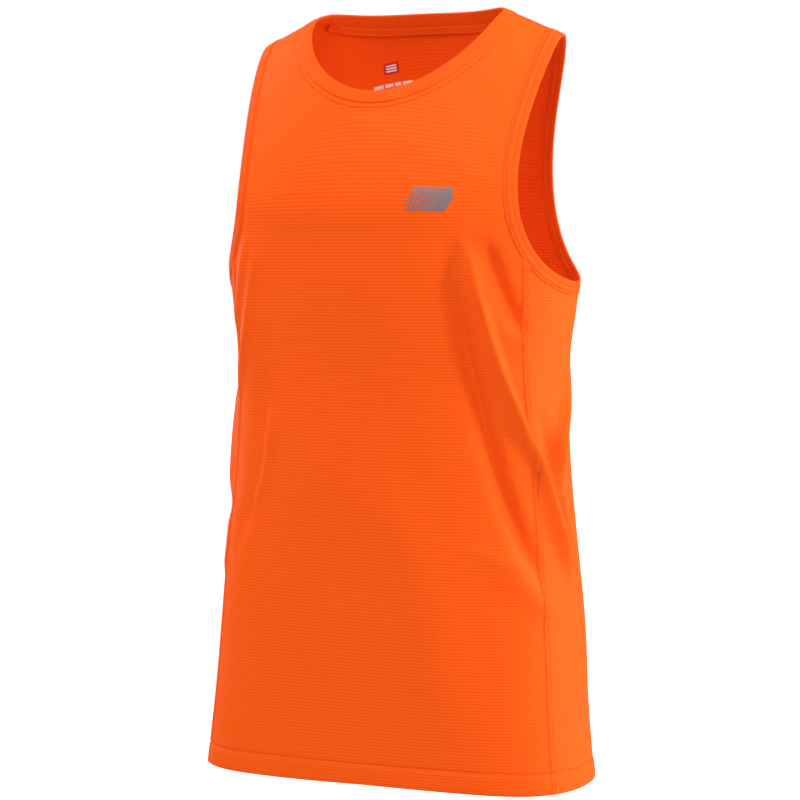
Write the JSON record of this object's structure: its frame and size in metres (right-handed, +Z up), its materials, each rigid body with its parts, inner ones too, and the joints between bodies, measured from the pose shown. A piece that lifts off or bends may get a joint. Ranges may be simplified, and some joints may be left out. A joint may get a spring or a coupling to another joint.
{
  "type": "running singlet",
  "caption": "Sleeveless running singlet worn by nobody: hollow body with side panels, round bound neck, bound armholes and a turned-up hem.",
  "frame": {"origin": "where the wearer's shoulders hold the singlet: on the middle plane, midway between the two straps' middles, at their underside", "axes": "+Z up along the body, -Y to the wearer's front, +X to the wearer's left"},
  "size_m": [0.3454, 0.2098, 0.6655],
  "materials": {
    "cloth": "fine orange polyester knit with a soft sheen",
    "binding": "ribbed orange binding"
  },
  "bodies": {
    "root": {"front_panel": "cloth", "back_panel": "cloth", "side_panel_left": "cloth", "side_panel_right": "cloth", "neck_binding": "binding", "armhole_binding_left": "binding", "armhole_binding_right": "binding"}
  },
  "joints": []
}
